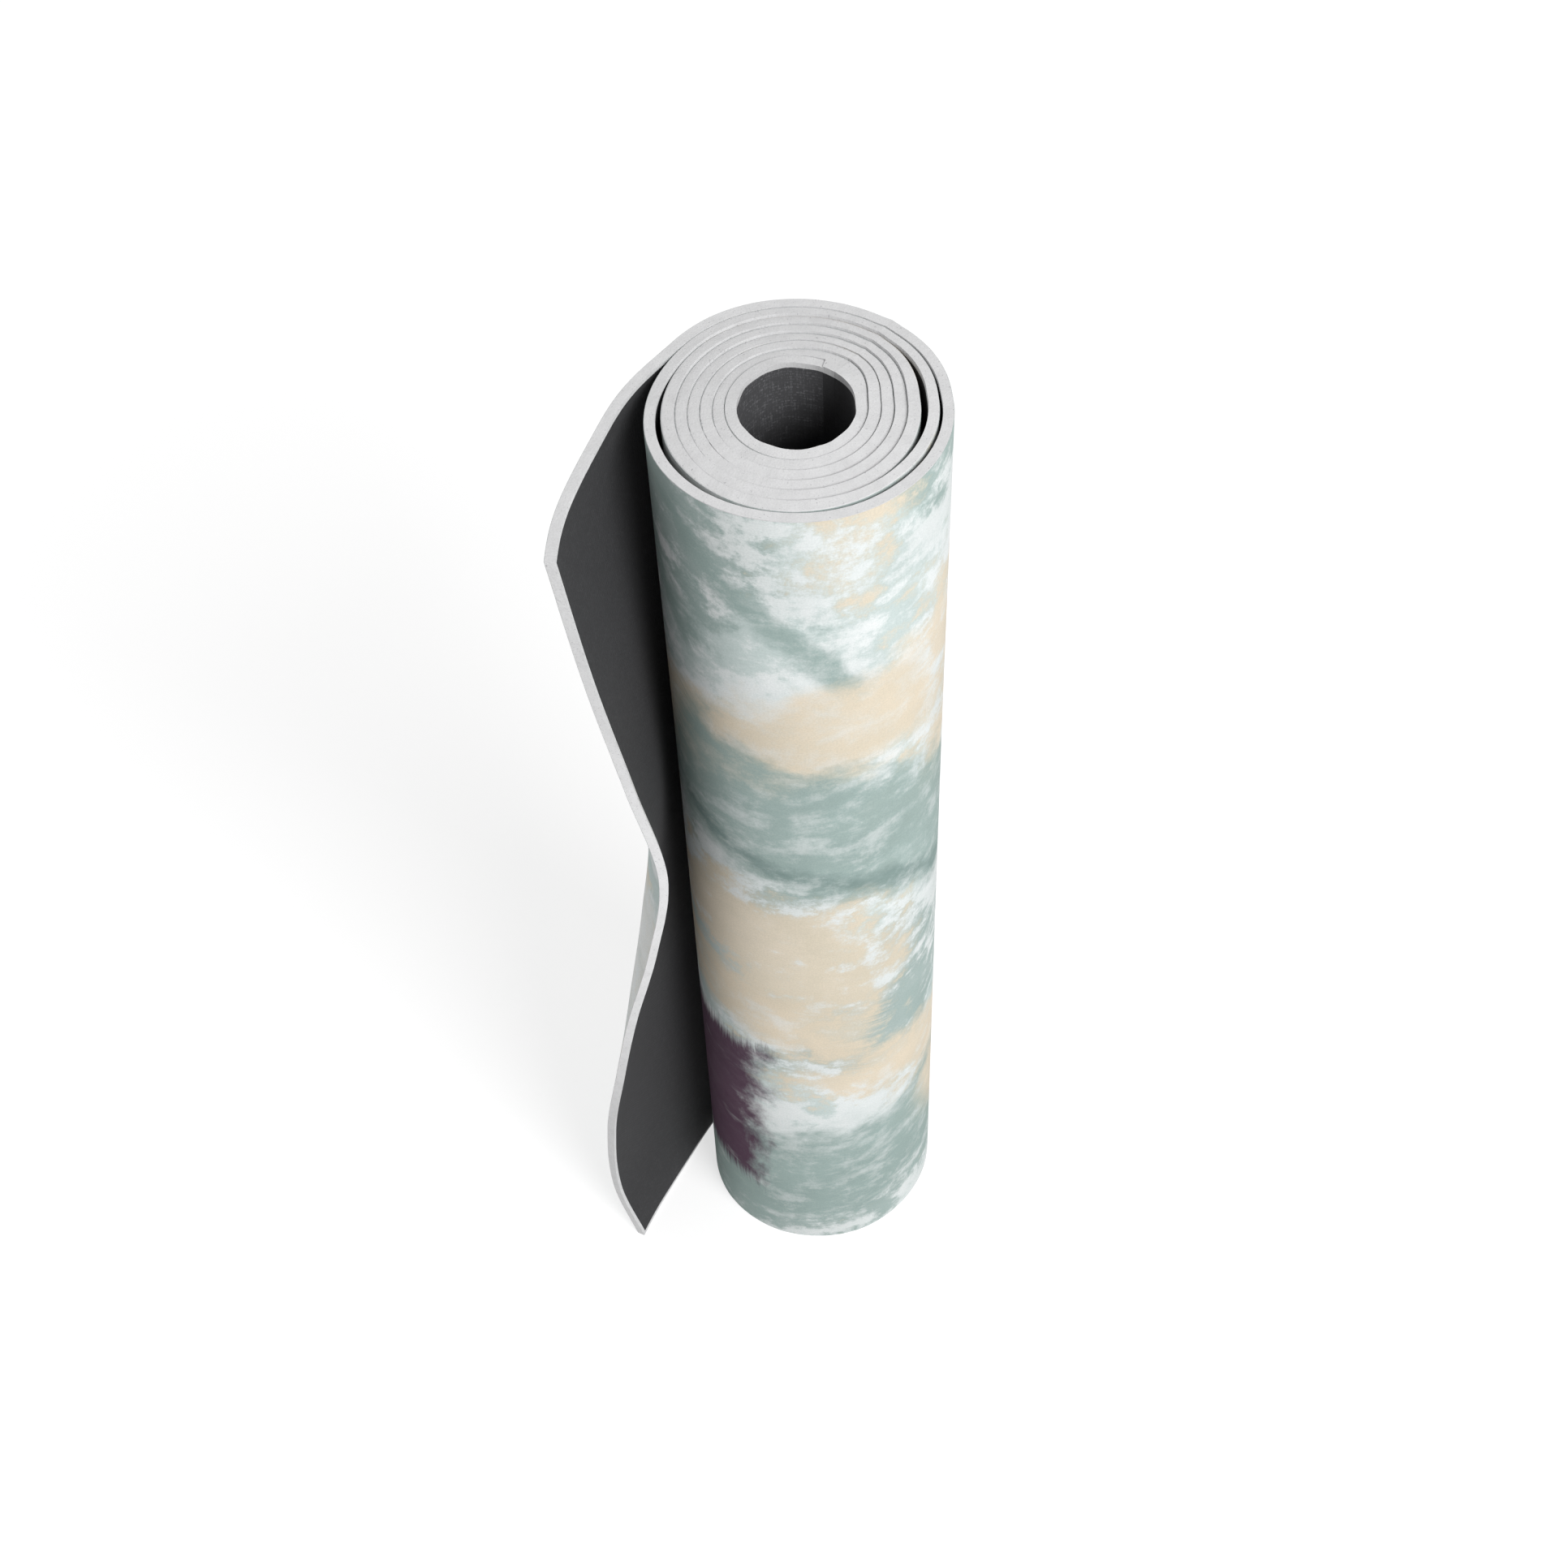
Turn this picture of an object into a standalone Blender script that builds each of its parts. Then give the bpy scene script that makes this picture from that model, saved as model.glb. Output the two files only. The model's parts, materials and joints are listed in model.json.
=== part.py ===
"""Rolled exercise mat that stands on one end, with its outer turn loose and its free end standing off.

The mat is one long sheet of three bonded layers: a printed skin on the outside of the roll, a foam
core and a woven backing. The inner turns are one solid per layer. The outer turn is a chain of strips
that opens like the bending sheet, and the free end is a wavy flap after the last strip.

Lengths are in metres and angles in degrees. The roll stands on the floor at z = 0, +Z is up, and the
origin is the middle of its footprint. Seen from above, the sheet winds outwards anticlockwise.
"""

import math

import bmesh
import bpy
from mathutils import Vector

# The sheet
MAT_LENGTH = 2.0
MAT_WIDTH = 0.61
SKIN_THICKNESS = 0.0003
CORE_THICKNESS = 0.0033
BACKING_THICKNESS = 0.0003
BOND_GAP = 0.0001

# The hollow in the middle of the roll
HOLLOW_RADIUS = 0.0234
HOLLOW_SHIFT = 0.0022
HOLLOW_SHIFT_SIDE = 122
END_CLIMB_ANGLE = 45

# The air between turns, which is widest on one side of the roll
WINDING_GAP = 0.00045
TURN_SLACK = 0.0008
SLACK_SIDE = 285

# The places where the two outer turns stand off further
LEFT_BULGE = 0.0023
FRONT_BULGE = 0.001
RIGHT_BULGE = 0.0021
INNER_LEFT_BULGE = 0.0006

# The free end
FLAP_LENGTH = 0.116
FLAP_LEAN = 0.0105
FLAP_SIDE = 140
SEAM_GAP = 0.0003

# Counts
STEPS_PER_TURN = 32
STRIPS = 16
FLAP_COLUMNS = 12
FLAP_ROWS = 16
PIECES_PER_COLUMN = 4

# The least angle that is shaded as a sharp edge
SHARP_ANGLE = 50

# Worked out from the sizes above
THICKNESS = SKIN_THICKNESS + CORE_THICKNESS + BACKING_THICKNESS + 2 * BOND_GAP
STEP_ANGLE = 360 / STEPS_PER_TURN
STEPS_PER_STRIP = STEPS_PER_TURN // STRIPS

# Bulges as degrees wound back from the flap, degrees of spread to each side, and height
BULGES = (
    (295, 65, LEFT_BULGE),
    (180, 75, FRONT_BULGE),
    (500, 55, RIGHT_BULGE),
    (670, 45, INNER_LEFT_BULGE),
)

# The flap's wave from the floor up: share of the width, turn of its body and turn of its edge
FLAP_WAVE_SHARES = (
    (0.0, 10, 5),
    (0.08, 2, 4),
    (0.2, 5, 5),
    (0.32, 13, 11),
    (0.43, 20, 20),
    (0.54, 29, 26),
    (0.65, 37, 19),
    (0.76, 35, 6),
    (0.88, 30, -3),
    (1.0, 22, 5),
)
BODY_TURN_SHARES = (0.08, 0.45)
EDGE_TURN_SHARES = (0.7, 1.0)

# Layers as name, depth below the printed face, thickness, colour and roughness
LAYERS = (
    ("print_skin", 0, SKIN_THICKNESS, (0.55, 0.63, 0.6), 0.85),
    ("foam_core", SKIN_THICKNESS + BOND_GAP, CORE_THICKNESS, (0.72, 0.72, 0.73), 0.9),
    ("backing", THICKNESS - BACKING_THICKNESS, BACKING_THICKNESS, (0.05, 0.05, 0.052), 0.8),
)


def smooth(share):
    """Rises gently from 0 to 1 as share does, and stays flat outside."""
    share = min(max(share, 0), 1)
    return share * share * (3 - 2 * share)


def cosine(angle):
    return math.cos(math.radians(angle))


def direction(angle):
    return Vector((math.cos(math.radians(angle)), math.sin(math.radians(angle))))


def left_of(along):
    return Vector((-along.y, along.x))


# The winding


def side_of(step, steps):
    """Direction from the roll's middle to a step, counted so that the last step is at the flap."""
    return FLAP_SIDE - (steps - step) * STEP_ANGLE


def gap_under(step, steps):
    """Air between the sheet at a step and the turn below it."""
    wound_back = (steps - step) * STEP_ANGLE
    gap = WINDING_GAP + TURN_SLACK * (1 + cosine(side_of(step, steps) - SLACK_SIDE)) / 2
    for centre, spread, height in BULGES:
        away = abs(wound_back - centre)
        if away < spread:
            gap += height * (1 + cosine(180 * away / spread)) / 2
    return gap


def first_turn_radius(step, steps):
    """Printed face of the innermost turn, which ends by climbing over the sheet's inner end."""
    off_middle = HOLLOW_SHIFT * cosine(side_of(step, steps) - HOLLOW_SHIFT_SIDE)
    climbed = smooth(1 - (STEPS_PER_TURN - step) * STEP_ANGLE / END_CLIMB_ANGLE)
    return HOLLOW_RADIUS + THICKNESS + off_middle + climbed * (THICKNESS + WINDING_GAP)


def winding_radii(steps):
    """Radius of the printed face at each step, with one step past the last."""
    radii = []
    for step in range(steps + 2):
        below = step - STEPS_PER_TURN
        if below < 0:
            radii.append(first_turn_radius(step, steps))
            continue
        rises = radii[below + 1] - radii[below], radii[below] - radii[max(below - 1, 0)]
        steepest = max(abs(rise) for rise in rises) / math.radians(STEP_ANGLE)
        tilt = math.atan2(steepest, radii[below])
        radii.append(radii[below] + (THICKNESS + gap_under(step, steps)) / math.cos(tilt))
    return radii


def stations_of(steps):
    """Each step's point on the printed face, with the way into the sheet there, mitred."""
    radii = winding_radii(steps)
    points = [radius * direction(side_of(step, steps)) for step, radius in enumerate(radii)]
    stations = []
    for step, point in enumerate(points[:-1]):
        after = (points[step + 1] - point).normalized()
        before = (point - points[step - 1]).normalized() if step else after
        inward = left_of(before + after).normalized()
        stations.append((point, inward / inward.dot(left_of(after))))
    return stations


def middle_length(stations):
    """Length of the sheet along the middle of its thickness."""
    middles = [point + inward * THICKNESS / 2 for point, inward in stations]
    return sum((end - start).length for start, end in zip(middles, middles[1:]))


def wind(sheet_length):
    """Stations of a winding that uses up this length, from the sheet's inner end to the flap's base."""
    steps = 2 * STEPS_PER_TURN
    while middle_length(stations_of(steps)) < sheet_length:
        steps += 1
    stations = stations_of(steps)
    spare = middle_length(stations) - sheet_length
    while middle_length(stations[:2]) < spare:
        spare -= middle_length(stations[:2])
        stations = stations[1:]
    share = spare / middle_length(stations[:2])
    (start, _), (end, _) = stations[:2]
    inward = left_of((end - start).normalized())
    return [(start.lerp(end, share), inward)] + stations[1:]


def between_seams(stations, seam_before):
    """A stretch of the sheet, shorter by half a seam at its far end and, if asked, at its near end."""
    cut = list(stations)
    (last, inward), (previous, _) = cut[-1], cut[-2]
    cut[-1] = (last + (previous - last).normalized() * SEAM_GAP / 2, inward)
    if seam_before:
        (first, inward), (following, _) = cut[0], cut[1]
        cut[0] = (first + (following - first).normalized() * SEAM_GAP / 2, inward)
    return cut


def outline_of(stations, depth, thickness):
    """Closed outline of one layer along a stretch of the sheet."""
    outer = [point + inward * depth for point, inward in stations]
    inner = [point + inward * (depth + thickness) for point, inward in stations]
    return outer + inner[::-1]


def least_gap(stations):
    """Least air between neighbouring turns, from each printed corner to the backing above it."""
    closest = MAT_LENGTH
    backs = [point + inward * THICKNESS for point, inward in stations]
    for index, (point, _) in enumerate(stations[: -STEPS_PER_TURN - 1]):
        above = index + STEPS_PER_TURN
        for start, end in zip(backs[above - 2 : above + 2], backs[above - 1 : above + 3]):
            along = end - start
            share = min(max((point - start).dot(along) / along.length_squared, 0), 1)
            closest = min(closest, (point - start.lerp(end, share)).length)
    return closest


# The flap


def wave_at(height_share):
    """Turn of the flap's body and of its edge at a height, on a smooth curve through the table."""
    shares = [row[0] for row in FLAP_WAVE_SHARES]
    last = len(shares) - 1
    index = min(sum(height_share >= share for share in shares[1:]), last - 1)
    span = shares[index + 1] - shares[index]
    across = (height_share - shares[index]) / span
    found = []
    for column in (1, 2):
        values = [row[column] for row in FLAP_WAVE_SHARES]
        ends = []
        for at in (index, index + 1):
            low, high = max(at - 1, 0), min(at + 1, last)
            ends.append((values[high] - values[low]) / (shares[high] - shares[low]) * span)
        start, end = values[index], values[index + 1]
        curved = ends[0] * across * (1 - across) ** 2 - ends[1] * (1 - across) * across**2
        found.append(start + (end - start) * smooth(across) + curved)
    return found


def spread_over(share, reach):
    return smooth((share - reach[0]) / (reach[1] - reach[0]))


def flap_row(base, base_heading, height_share):
    """Points of the flap's inner face at one height, each with the way out to the printed face."""
    body_turn, edge_turn = wave_at(height_share)
    pieces = FLAP_COLUMNS * PIECES_PER_COLUMN
    length = FLAP_LENGTH + FLAP_LEAN * (height_share - 0.5) - SEAM_GAP / 2
    heading = base_heading
    place = base + direction(heading) * SEAM_GAP / 2
    row = [(place, -left_of(direction(heading)))]
    for piece in range(1, pieces + 1):
        share = piece / pieces
        next_heading = base_heading + body_turn * spread_over(share, BODY_TURN_SHARES)
        next_heading += edge_turn * spread_over(share, EDGE_TURN_SHARES)
        place = place + direction((heading + next_heading) / 2) * length / pieces
        heading = next_heading
        if piece % PIECES_PER_COLUMN == 0:
            row.append((place, -left_of(direction(heading))))
    return row


def flap_rows(station):
    """Rows of the flap from the floor to its top edge."""
    point, inward = station
    base_heading = math.degrees(math.atan2(-inward.x, inward.y))
    base = point + inward * THICKNESS
    return [flap_row(base, base_heading, row / FLAP_ROWS) for row in range(FLAP_ROWS + 1)]


def grid_at(bm, rows, origin, level):
    """Corners of a face of the flap at this level above its inner face, row by row from the floor."""
    grid = []
    for number, row in enumerate(rows):
        height = MAT_WIDTH * number / FLAP_ROWS
        places = [place + outward * level - origin for place, outward in row]
        grid.append([bm.verts.new((place.x, place.y, height)) for place in places])
    return grid


def rims_of(grid):
    """The four edges of a grid of corners."""
    return grid[0], grid[-1], [row[0] for row in grid], [row[-1] for row in grid]


def join_rows(bm, low, high):
    """Faces between two rows of corners."""
    for start, end, far_end, far_start in zip(low, low[1:], high[1:], high):
        bm.faces.new((start, end, far_end, far_start))


def add_flap_layer(name, rows, origin, depth, thickness, material, parent):
    """One layer of the flap, lofted through its rows."""
    bm = bmesh.new()
    outer = grid_at(bm, rows, origin, THICKNESS - depth)
    inner = grid_at(bm, rows, origin, THICKNESS - depth - thickness)
    for grid in (outer, inner):
        for low, high in zip(grid, grid[1:]):
            join_rows(bm, low, high)
    for rim, other_rim in zip(rims_of(outer), rims_of(inner)):
        join_rows(bm, rim, other_rim)
    bmesh.ops.recalc_face_normals(bm, faces=bm.faces)
    bmesh.ops.triangulate(bm, faces=bm.faces)
    mesh = bpy.data.meshes.new(name)
    bm.to_mesh(mesh)
    bm.free()
    mesh.shade_smooth()
    mesh.set_sharp_from_angle(angle=math.radians(SHARP_ANGLE))
    place_object(name, mesh, (0, 0, 0), material, parent)


# Objects


def material_for(name, colour, roughness):
    material = bpy.data.materials.new(name)
    material.use_nodes = True
    shader = material.node_tree.nodes["Principled BSDF"]
    shader.inputs["Base Color"].default_value = (*colour, 1)
    shader.inputs["Roughness"].default_value = roughness
    shader.inputs["Metallic"].default_value = 0
    material.diffuse_color = (*colour, 1)
    return material


def place_object(name, data, location, material, parent):
    data.materials.append(material)
    placed = bpy.data.objects.new(name, data)
    placed.location = location
    placed.parent = parent
    parent.users_collection[0].objects.link(placed)


def add_band(name, outline, origin, material, parent):
    """One layer of a stretch of the roll: its outline, extruded over the mat's width."""
    curve = bpy.data.curves.new(name, "CURVE")
    curve.dimensions = "2D"
    curve.fill_mode = "BOTH"
    curve.extrude = MAT_WIDTH / 2
    spline = curve.splines.new("POLY")
    spline.points.add(len(outline) - 1)
    for point, corner in zip(spline.points, outline):
        place = corner - origin
        point.co = (place.x, place.y, 0, 1)
    spline.use_cyclic_u = True
    place_object(name, curve, (0, 0, MAT_WIDTH / 2), material, parent)


def add_marker(name, offset, parent, collection):
    """An empty on a hinge line, this far from the one that carries it."""
    marker = bpy.data.objects.new(name, None)
    marker.empty_display_size = HOLLOW_RADIUS
    marker.location = offset.to_3d()
    marker.parent = parent
    collection.objects.link(marker)
    return marker


def add_stretch(prefix, stations, origin, parent):
    """The three layers of a stretch of the roll."""
    for layer, depth, thickness, colour, roughness in LAYERS:
        name = f"{prefix}_{layer}"
        outline = outline_of(stations, depth, thickness)
        add_band(name, outline, origin, material_for(name, colour, roughness), parent)


def add_flap(rows, origin, parent):
    """The three layers of the flap."""
    for layer, depth, thickness, colour, roughness in LAYERS:
        name = f"flap_{layer}"
        material = material_for(name, colour, roughness)
        add_flap_layer(name, rows, origin, depth, thickness, material, parent)


def show_place(label, place):
    print(f"{label}:", [round(value, 6) for value in place])


def footprint_middle(stations, rows):
    """Middle of the box round everything, seen from above."""
    corners = outline_of(stations, 0, THICKNESS)
    for row in rows:
        corners += [place + outward * level for place, outward in row for level in (0, THICKNESS)]
    lows = [min(corner[axis] for corner in corners) for axis in (0, 1)]
    highs = [max(corner[axis] for corner in corners) for axis in (0, 1)]
    return Vector([(low + high) / 2 for low, high in zip(lows, highs)])


def print_facts(stations, middle):
    """Places that a record of the roll needs, and the least gap between its turns."""
    standing, inward = stations[-1 - STEPS_PER_TURN - STEPS_PER_STRIP]
    show_place("standing point", standing + inward * THICKNESS / 2 - middle)
    show_place("hollow's middle", HOLLOW_SHIFT * direction(HOLLOW_SHIFT_SIDE) - middle)
    show_place("roll's middle", -middle)
    show_place("inner end", stations[0][0] - middle)
    print("turns:", round((len(stations) - 1) / STEPS_PER_TURN, 3))
    print("least gap between turns, in mm:", round(1000 * least_gap(stations), 3))


def main():
    for old in list(bpy.data.objects):
        bpy.data.objects.remove(old)
    collection = bpy.data.collections.new("yoga_mat")
    bpy.context.scene.collection.children.link(collection)

    stations = wind(MAT_LENGTH - FLAP_LENGTH)
    rows = flap_rows(stations[-1])
    middle = footprint_middle(stations, rows)
    turn_start = len(stations) - 1 - STEPS_PER_TURN

    marker = add_marker("floor_middle", middle - middle, None, collection)
    add_stretch("roll", between_seams(stations[: turn_start + 1], False), middle, marker)

    carrier_place = middle
    for strip in range(1, STRIPS + 1):
        first = turn_start + (strip - 1) * STEPS_PER_STRIP
        hinge_place = stations[first][0]
        show_place(f"hinge of strip {strip}", hinge_place - middle)
        marker = add_marker(f"hinge_{strip}", hinge_place - carrier_place, marker, collection)
        stretch = between_seams(stations[first : first + STEPS_PER_STRIP + 1], True)
        add_stretch(f"outer_turn_{strip}", stretch, hinge_place, marker)
        carrier_place = hinge_place

    hinge_place = stations[-1][0]
    show_place("hinge of flap", hinge_place - middle)
    marker = add_marker("hinge_flap", hinge_place - carrier_place, marker, collection)
    add_flap(rows, hinge_place, marker)
    print_facts(stations, middle)


main()
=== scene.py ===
import json
import math

import bpy
import numpy as np
from bpy.props import FloatProperty, FloatVectorProperty, PointerProperty
from bpy.types import Operator, Panel, PropertyGroup
from mathutils import Matrix, Vector


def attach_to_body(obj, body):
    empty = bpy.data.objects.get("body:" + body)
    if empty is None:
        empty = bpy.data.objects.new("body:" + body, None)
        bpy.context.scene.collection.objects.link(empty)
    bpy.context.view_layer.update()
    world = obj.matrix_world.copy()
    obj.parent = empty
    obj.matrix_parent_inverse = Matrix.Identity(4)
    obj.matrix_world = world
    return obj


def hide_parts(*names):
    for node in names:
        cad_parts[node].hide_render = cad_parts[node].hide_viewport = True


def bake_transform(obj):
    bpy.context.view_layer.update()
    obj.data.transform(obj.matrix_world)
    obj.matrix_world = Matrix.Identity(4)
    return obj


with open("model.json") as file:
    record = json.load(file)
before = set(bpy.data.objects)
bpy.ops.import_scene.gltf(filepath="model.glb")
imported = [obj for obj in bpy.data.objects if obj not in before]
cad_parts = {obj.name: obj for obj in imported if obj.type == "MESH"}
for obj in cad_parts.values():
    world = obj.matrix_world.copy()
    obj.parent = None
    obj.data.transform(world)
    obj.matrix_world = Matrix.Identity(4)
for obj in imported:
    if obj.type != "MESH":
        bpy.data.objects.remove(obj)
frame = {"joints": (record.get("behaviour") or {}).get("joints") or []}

bl_info = {
    "name": "Rolled Yoga Mat",
    "version": (1, 0, 0),
    "blender": (4, 5, 0),
    "location": "3D View > Sidebar > Yoga Mat",
    "description": "A rolled yoga mat on its end, with a loose outer turn and a wavy free end",
    "category": "Object",
}

# The winding in metres and degrees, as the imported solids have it. Sides are directions from the roll's
# middle, seen from above and anticlockwise from +X. Wound back is the angle from the flap's base inwards.
MAT_WIDTH = 0.61
PACKED_THICKNESS = 0.0041
HOLLOW_RADIUS = 0.0234
HOLLOW_SHIFT = 0.0022
HOLLOW_SHIFT_SIDE = 122
END_CLIMB_ANGLE = 45
WINDING_GAP = 0.00045
TURN_SLACK = 0.0008
SLACK_SIDE = 285
WOUND_ANGLE = 2610
INNER_END_CUT = 16.875
FLAP_SIDE = 140
FLAP_LENGTH = 0.116
FLAP_LEAN = 0.0105

# Where the outer turns stand off: degrees wound back, spread to each side, height
BULGES = ((295, 65, 0.0023), (180, 75, 0.001), (500, 55, 0.0021), (670, 45, 0.0006))

# Furthest that a packed hinge line may lie off the winding
HINGE_TOLERANCE = 0.0005

# The flap's wave from the floor up: share of the width, turn of its body, turn of its edge
FLAP_WAVE = np.array((
    (0.0, 10, 5),
    (0.08, 2, 4),
    (0.2, 5, 5),
    (0.32, 13, 11),
    (0.43, 20, 20),
    (0.54, 29, 26),
    (0.65, 37, 19),
    (0.76, 33.8, 6),
    (0.88, 28.6, -3),
    (1.0, 22, 5),
))

# Shares of the flap's length over which its body and its edge turn
BODY_TURN = (0.08, 0.45)
EDGE_TURN = (0.7, 1.0)

# How far the flap is bowed at its top, and the share of the width from which on
FLAP_BOW = 0.0033
FLAP_BOW_FROM = 0.55

# Degrees wound back over which the turns begin to press on each other
PRESSED_FROM = (520, 600)

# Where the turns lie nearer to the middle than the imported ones: side, spread before and after it,
# distance, and degrees wound back over which it fades
PULL_SIDE = 52
PULL_SPREAD = (50, 80)
PULL = 0.0022
PULL_FADES = (360, 2160)

# How far the foot of the outer turn stands out: degrees wound back, distance at the floor
FOOT = np.array(((40, 0.0), (140, 0.0016), (200, 0.0024), (255, 0.0038), (290, 0.0032), (355, 0.0)))
FOOT_HEIGHT = 0.42
FOOT_POWER = 1.2

# How far the hollow's wall strays from its round, as waves: how many around, size and start
HOLLOW_RIPPLE = 0.0003
HOLLOW_WAVES = ((5, 1.0, 0.0), (9, 1.0, 1.1), (14, 0.8, 0.4))

# The top cut along the winding: degrees wound back, height of the cut, and radius of the foam's
# outer corner, both in steps of telescoping
TOP_CUT = np.array((
    (0, 0.1, 0.2),
    (50, -0.3, 0.2),
    (230, 0.0, 0.2),
    (320, 0.1, 0.25),
    (410, -0.5, 0.4),
    (590, -0.2, 0.5),
    (770, -1.2, 0.4),
    (950, -0.5, 0.4),
    (1130, -1.6, 0.5),
    (1310, -1.0, 0.25),
    (1490, -2.0, 0.45),
    (1670, -1.2, 0.2),
    (1850, -1.6, 0.45),
    (2030, -1.3, 0.2),
    (2210, -2.1, 0.4),
    (2300, -1.5, 0.2),
    (2390, -0.9, 0.15),
    (2500, -0.5, 0.2),
    (2560, -0.7, 0.2),
    (2580, -1.5, 0.15),
    (2595, -1.95, 0.12),
))

# Waves of the cuts along the sheet: height in steps of telescoping, length, start
TOP_WAVE = (0.1, 0.0187, 2.1)
BOTTOM_WAVE = (0.2, 0.061, 1.3)

# Slope of the top cut, which rises towards the roll's middle, and degrees wound back over which it begins
CUT_SLOPE = 0.14
CUT_SLOPES_FROM = (30, 400)

# How far the sheet's inner end leans against the next turn
INNER_END_LEAN = 0.85

# Round corners of the foam: run along the face for each metre of radius, and the share of the outer
# corner's radius and the most that the inner corner has
CORNER_RUN = 1.6
INNER_CORNER_SHARE = 0.5
INNER_CORNER_MOST = 0.0003

# Widest gap between turns that the foam closes at the cut, and how open and patchy it stays at the right
MOST_CLOSED = 0.00013
OPEN_SHARE = 0.9
OPEN_WAVE = (0.4, 0.017, 0.0)

# Stray of the cut edges: length of its waves, strength of the noise, and seed
WOBBLE_LENGTH = 0.0016
WOBBLE_STRENGTH = 3.0
WOBBLE_SEED = 4.0

# Distance within which a layer's two faces are joined
WELD_DISTANCE = 1e-6

# How finely the sheet is made
STEPS_PER_TURN = 192
FLAP_COLUMNS = 96
FLAP_BASE_COLUMNS = 10
ROLL_ROWS = 12
STRIP_ROWS = 24
FLAP_ROWS = 96
STEP_ANGLE = 360 / STEPS_PER_TURN

# Distances of the first rows from a cut edge, and the rows where the skin and the backing begin
CUT_ROWS = np.array((0.0, 0.0002, 0.0006, 0.0012, 0.002))
SKIN_ROWS = {"print_skin": 1, "foam_core": 0, "backing": 4}

# How nearly a face has to look along the sheet's own normal to be shaded with it
BROAD_FACE = 0.7

# The roll's joints, in order along the sheet
UNROLL_JOINTS = [joint for joint in frame["joints"] if joint["name"].startswith("unroll")]
FLAP_JOINT = next(joint for joint in frame["joints"] if joint["name"] == "flap_swing")
STEPS_PER_STRIP = STEPS_PER_TURN // len(UNROLL_JOINTS)


# Settings


def length_property(name, description, default, least, most):
    return FloatProperty(
        name=name, description=description, default=default, min=least, max=most, unit="LENGTH"
    )


class YogaMatSheet(PropertyGroup):
    thickness: length_property("Sheet thickness", "Skin, foam and backing together", 0.00444, 0.003, 0.00445)
    skin: length_property(
        "Printed skin", "Thickness of the printed skin outside the roll", 0.00005, 0.00002, 0.001
    )
    backing: length_property(
        "Woven backing", "Thickness of the charcoal backing inside the roll", 0.00006, 0.00002, 0.001
    )
    proud: length_property(
        "Skin stands proud", "Height of the printed face above the packed hinge lines", 0.00012, 0, 0.0002
    )
    air: length_property(
        "Air between turns", "Air left between the inner turns, which press on each other", 0.00006, 0, 0.001
    )
    edge_wobble: length_property(
        "Edge wobble", "How far the cut edge strays from a straight line", 0.00008, 0, 0.0003
    )
    telescoping: length_property(
        "Telescoping", "Size of the steps and round corners at the ends of the roll", 0.001, 0, 0.003
    )


def colour_property(name, description, default):
    return FloatVectorProperty(
        name=name, description=description, default=default, size=3, min=0, max=1, subtype="COLOR"
    )


class YogaMatColours(PropertyGroup):
    foam: colour_property("Foam", "Cut edge of the foam", (0.635, 0.635, 0.64))
    foam_specks: colour_property("Foam specks", "Tiny dark specks in the foam", (0.38, 0.38, 0.39))
    backing: colour_property("Backing", "Charcoal threads of the backing", (0.036, 0.036, 0.038))
    white: colour_property("White", "Bare ground of the print", (0.75, 0.77, 0.77))
    pale_sage: colour_property("Pale sage", "Thin wash of the print", (0.5, 0.58, 0.565))
    sage: colour_property("Sage", "Full wash of the print", (0.31, 0.395, 0.375))
    deep_sage: colour_property("Deep sage", "Dry brush strokes of the print", (0.2, 0.275, 0.26))
    cream: colour_property("Cream", "Warm wash of the print", (0.71, 0.615, 0.485))
    plum: colour_property("Plum", "Dark strokes of the print", (0.07, 0.026, 0.056))


class YogaMatStage(PropertyGroup):
    floor_size: length_property("Floor size", "Side of the floor", 12.0, 2.0, 100.0)
    key_power: FloatProperty(
        name="Main light", description="Power of the large soft light", default=80.0, min=0.0, unit="POWER"
    )
    back_power: FloatProperty(
        name="Back light", description="Power of the soft light behind", default=20.0, min=0.0, unit="POWER"
    )
    fill_strength: FloatProperty(
        name="Fill", description="Brightness of the light from all round", default=0.44, min=0.0
    )
    lens: FloatProperty(
        name="Lens", description="Focal length of the camera in millimetres", default=57.455, min=10.0
    )


# The sheet's path, seen from above


def smooth(share):
    """Rises gently from 0 to 1 as share does, and stays flat outside."""
    share = np.clip(share, 0, 1)
    return share * share * (3 - 2 * share)


def spread_over(share, reach):
    return smooth((share - reach[0]) / (reach[1] - reach[0]))


def cosine(angle):
    return np.cos(np.radians(angle))


def directions(angles):
    return np.stack((cosine(angles), np.sin(np.radians(angles))), axis=-1)


def left_of(along):
    return np.stack((-along[..., 1], along[..., 0]), axis=-1)


def unit(vectors):
    return vectors / np.linalg.norm(vectors, axis=-1, keepdims=True)


def gap_under(sides):
    """Air between the sheet and the turn below it, for each direction from the roll's middle."""
    wound_back = FLAP_SIDE - sides
    gap = WINDING_GAP + TURN_SLACK * (1 + cosine(sides - SLACK_SIDE)) / 2
    for centre, spread, height in BULGES:
        away = np.abs(wound_back - centre)
        gap += np.where(away < spread, height * (1 + cosine(180 * away / spread)) / 2, 0)
    return gap


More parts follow.
